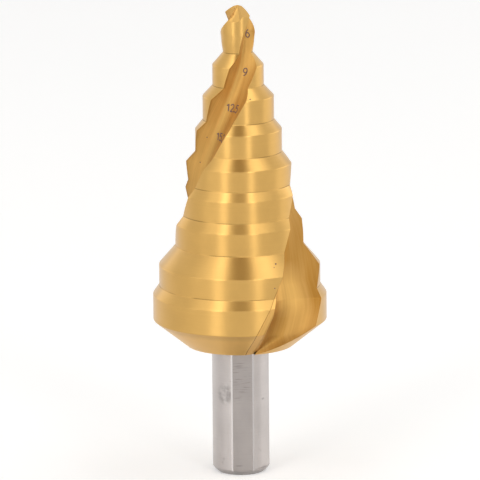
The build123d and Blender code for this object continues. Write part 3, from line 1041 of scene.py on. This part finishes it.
# %% Worn steel
# painted reflection: STEEL for the rounds is lighter than FLAT_STEEL, partly from the grind and partly
# standing in for the brighter sides they mirror
STEEL, FLAT_STEEL = (0.495, 0.457, 0.44), (0.385, 0.352, 0.337)
STEEL_CLOUDS = (260, 260, 160), (0.94, 1.06)          # stretch per metre, and tones
STEEL_RINGS = (90, 90, 11000), (0.98, 1.02)
STAIN_PLACE, STAIN_SIZE, STAIN_SOFT = (-2.65, -4.0, 14.7), (1.15, 3.5, 1.6), 0.35     # mm
STAIN_NOISE = (900, 900, 900), (0.0, 0.38), (0.35, 0.55), 4.0        # and band and detail
SCRATCH_PLACE, SCRATCH_SIZE, SCRATCH_SOFT = (0.0, -4.6, 17.3), (1.7, 1.2, 3.6), 0.3
SCRATCH_NOISE = (500, 500, 5200), (0.0, 0.30), (0.60, 0.72), 1.0
SPOT_NOISE = (480, 480, 480), (0.0, 0.16), (0.68, 0.76), 2.0
NICK_SOFT, NICK_DEPTH = 0.4, 0.30
NICKS = (                                             # places and half sizes, mm
    ((4.2, -3.0, 1.15), (1.5, 2.0, 0.16)), ((2.2, -4.4, 22.4), (0.25, 1.0, 0.22)),
    ((3.9, -3.4, 13.6), (0.22, 1.5, 0.18)), ((-0.4, -4.7, 1.8), (0.6, 1.0, 0.10)))
CHAMFER_TONE, CHAMFER_UNDER, CHAMFER_OVER = 0.80, 0.0006, 0.0011     # in metres up the drill


def worn_steel(name, colour):
    """Bare steel of one colour: clouds x rings x chamfer x (1 - stain, scratches, spots, nicks)."""
    material, tree, shader = metal(name, colour, 0.36, RING_SMEAR, RING_TURN)
    place = object_place(tree)
    stain = product(tree, patch(tree, place, STAIN_PLACE, STAIN_SIZE, STAIN_SOFT),
                    mottle(tree, place, *STAIN_NOISE))
    scratches = product(tree, patch(tree, place, SCRATCH_PLACE, SCRATCH_SIZE, SCRATCH_SOFT),
                        mottle(tree, place, *SCRATCH_NOISE))
    wear = math_node(tree, "MAXIMUM", stain, scratches)
    wear = math_node(tree, "ADD", wear, mottle(tree, place, *SPOT_NOISE))
    for centre, size in NICKS:
        nick = patch(tree, place, centre, size, NICK_SOFT)
        wear = math_node(tree, "MULTIPLY_ADD", nick, NICK_DEPTH, wear)
    chamfer = spread(tree, part_of(tree, place, "Z"), CHAMFER_TONE, 1.0, CHAMFER_UNDER, CHAMFER_OVER)
    clouds, rings = mottle(tree, place, *STEEL_CLOUDS), mottle(tree, place, *STEEL_RINGS)
    left_clean = math_node(tree, "SUBTRACT", 1.0, wear)
    dim(tree, shader, colour, product(tree, clouds, rings, chamfer, left_clean))
    return material


round_steel, flat_steel = worn_steel("bare_round", STEEL), worn_steel("bare_flat", FLAT_STEEL)
print("worn steel", round_steel.name, flat_steel.name)

# %% [markdown]
# ## Burnished edges
# The chuck's jaws have polished the edges between flats and rounds. They are smooth, and their
# lighter colour is a painted highlight: thin bright lines, fainter towards the right.

# %% Burnished edges
# painted highlight: the edges' lighter colour makes the thin bright lines, fainter towards +X
BURNISHED_HIGHLIGHT, FAR_HIGHLIGHT_TONE, NEAR_X, FAR_X = (0.66, 0.63, 0.62), 0.76, -0.001, 0.002     # x in metres
edge_highlight_steel, tree, shader = metal("bare_edge_highlight", BURNISHED_HIGHLIGHT, 0.22)
towards_right = part_of(tree, object_place(tree), "X")
dim(tree, shader, BURNISHED_HIGHLIGHT, spread(tree, towards_right, 1.0, FAR_HIGHLIGHT_TONE, NEAR_X, FAR_X))
for material in (round_steel, edge_highlight_steel, flat_steel):
    shank.data.materials.append(material)
print("finishes of the shank", [material.name for material in shank.data.materials])

# %% [markdown]
# ## The etched marks
# A laser burns the coating to a dull brown-violet film, which is rough and no longer a metal.
# Where the coating has chipped off, the steel has tarnished to about the same dark colour.

# %% Burnt film
FILM_COLOUR, FILM_ROUGHNESS = (0.12, 0.062, 0.065), 0.6
marks_film, tree, shader = principled("etched_film", FILM_COLOUR)
shader.inputs["Roughness"].default_value = FILM_ROUGHNESS
for piece in (marks, chips):
    piece.data.materials.append(marks_film)
print("film", marks_film.name)

# %% [markdown]
# ## Camera
# A long lens from well in front and a little above: the upright edges stay parallel. The
# camera's three axes are worked out one after the other and then rolled by half a degree.

# %% Camera
DISTANCE, ELEVATION, ROLL, PIXELS_PER_MM = 1300.0, 12.38, 0.484, 5.697
FRAME_PIXELS, SENSOR, TARGET = 480, 36.0, Vector((0.106, 0, 41.50)) * MM
back = Vector((0, -math.cos(math.radians(ELEVATION)), math.sin(math.radians(ELEVATION))))
right = Vector((1, 0, 0))
up = back.cross(right)
spin = math.radians(ROLL)
right, up = right * math.cos(spin) - up * math.sin(spin), right * math.sin(spin) + up * math.cos(spin)
camera_data = bpy.data.cameras.new("camera")
camera_data.sensor_width = SENSOR
camera_data.lens = SENSOR * DISTANCE * PIXELS_PER_MM / FRAME_PIXELS
camera_data.clip_start, camera_data.clip_end = 0.05, 20
camera = link("camera", camera_data)
rotation = Matrix((right, up, back)).transposed().to_4x4()
camera.matrix_world = Matrix.Translation(TARGET + back * DISTANCE * MM) @ rotation
bpy.context.scene.camera = camera
bpy.context.scene.view_settings.view_transform = "Standard"
print("lens", round(camera_data.lens, 1), "mm")

# %% [markdown]
# ## Soft boxes
# Polished metal mirrors the whole room, so the room is built with care. Round the drill all
# is white. Two tall soft boxes stand on the floor left and right of the camera and make the
# upright stripes on the lands; wide dim ones fill in from the left and from behind; two long
# ones hang overhead and do the same for the sloping shoulders. A lamp's power follows from the
# brightness it adds to the white behind it: power = pi x area x brightness, and 1 is white.
# The boxes are hidden from the camera alone, so that views from any side stay clear.


# %% Soft boxes
def soft_box(name, place, aim, width, length, brightness):
    """Area lamp at `place` facing `aim`; its length runs upwards, or to the back overhead."""
    data = bpy.data.lights.new(name, "AREA")
    data.shape, data.size, data.size_y = "RECTANGLE", width, length
    data.energy = math.pi * width * length * brightness
    lamp = link(name, data)
    toward = Vector(aim) - Vector(place)
    lamp.matrix_world = Matrix.Translation(place) @ toward.to_track_quat("-Z", "Y").to_matrix().to_4x4()
    lamp.visible_camera = False


BOX_DISTANCE, BOX_FOOT = 1.0, 0.01                        # metres, as are the sizes below
OVERHEAD, OVERHEAD_LENGTH, OVERHEAD_Y = 1.0, 0.8, -0.1
STANDING = (                                              # name, azimuth, width, length, brightness
    ("box_left", -31.0, 0.26, 1.2, 3.1), ("box_right", 27.0, 0.18, 1.2, 3.3),
    ("fill_left", -58.0, 0.55, 1.2, 0.55), ("wing_left", -128.0, 0.60, 0.4, 0.55),
    ("wing_right", 112.0, 0.90, 0.4, 1.4))
HANGING = (("over_left", -0.37, 0.26, 1.5), ("over_right", 0.50, 0.40, 1.8))   # name, x, width, brightness
for name, azimuth, width, length, brightness in STANDING:
    a = math.radians(azimuth)
    place = Vector((BOX_DISTANCE * math.sin(a), -BOX_DISTANCE * math.cos(a), length / 2 + BOX_FOOT))
    soft_box(name, place, (0, 0, place.z), width, length, brightness)
for name, x, width, brightness in HANGING:
    soft_box(name, (x, OVERHEAD_Y, OVERHEAD), (x, OVERHEAD_Y, 0), width, OVERHEAD_LENGTH, brightness)

# %% [markdown]
# ## The board overhead
# Between the two hanging boxes a tan board covers the white above. The shoulders mirror it as
# the dark slot in their middle. Its faint glow is painted light, standing in for the room's light
# falling on it, and it is hidden from the camera as the boxes are.

# %% Board
BOARD_LEFT, BOARD_RIGHT, BOARD_BACK, BOARD_FRONT, BOARD_OVER = -0.19, 0.27, 0.35, -1.0, 0.05
BOARD_COLOUR, BOARD_PAINTED_GLOW, BOARD_LEVEL = (0.1, 0.08, 0.05), (1, 0.78, 0.48), 0.28


def sheet(name, colour, left, right, front, back, height):
    """A level rectangle, its material's tree and its shader. It faces up, and down where front
    and back change places."""
    mesh = bpy.data.meshes.new(name)
    corners = ((left, front), (right, front), (right, back), (left, back))
    mesh.from_pydata([(x, y, height) for x, y in corners], [], [(0, 1, 2, 3)])
    material, tree, shader = principled(name, colour)
    mesh.materials.append(material)
    return link(name, mesh), tree, shader


board, tree, shader = sheet(
    "board", BOARD_COLOUR, BOARD_LEFT, BOARD_RIGHT, BOARD_BACK, BOARD_FRONT, OVERHEAD + BOARD_OVER)
board.visible_camera = False
# painted light: the board's emission stands in for the room's light falling on it
shader.inputs["Emission Color"].default_value = (*BOARD_PAINTED_GLOW, 1)
shader.inputs["Emission Strength"].default_value = BOARD_LEVEL
print("board", round(BOARD_RIGHT - BOARD_LEFT, 2), "m wide")

# %% [markdown]
# ## White surroundings
# The camera, mirrored rays and rays through glass see the world as plain white. What lights
# the floor is less, because the lamps do the rest; together they come to about 1, the level at
# which a colour looks as it is written.

# %% World
AMBIENT = 0.5


def shown(tree):
    """1 for camera, glossy and transmission rays, else 0."""
    rays = tree.nodes.new("ShaderNodeLightPath").outputs
    seen = math_node(tree, "MAXIMUM", rays["Is Camera Ray"], rays["Is Glossy Ray"])
    return math_node(tree, "MAXIMUM", seen, rays["Is Transmission Ray"])


world = bpy.data.worlds.new("studio")
world.use_nodes = True
background = world.node_tree.nodes["Background"]
background.inputs["Color"].default_value = (1, 1, 1, 1)
level = math_node(world.node_tree, "MULTIPLY_ADD", shown(world.node_tree), 1 - AMBIENT, AMBIENT)
world.node_tree.links.new(level, background.inputs["Strength"])
bpy.context.scene.world = world
print("ambient level", AMBIENT)

# %% [markdown]
# ## Floor
# A plain white floor that keeps the drill's soft shadow. The lift to full white goes only to
# the rays that show it, so it puts no light on the drill.

# %% The floor
FLOOR_REACH, FLOOR_WHITE, FLOOR_ROUGHNESS, FLOOR_LIFT = 4.0, 0.9, 0.9, 0.27
floor, tree, shader = sheet(
    "floor", (FLOOR_WHITE,) * 3, -FLOOR_REACH, FLOOR_REACH, -FLOOR_REACH, FLOOR_REACH, 0)
shader.inputs["Roughness"].default_value = FLOOR_ROUGHNESS
shader.inputs["Emission Color"].default_value = (1, 1, 1, 1)
lift = math_node(tree, "MULTIPLY", shown(tree), FLOOR_LIFT)
tree.links.new(lift, shader.inputs["Emission Strength"])
print("floor", FLOOR_REACH * 2, "m wide")
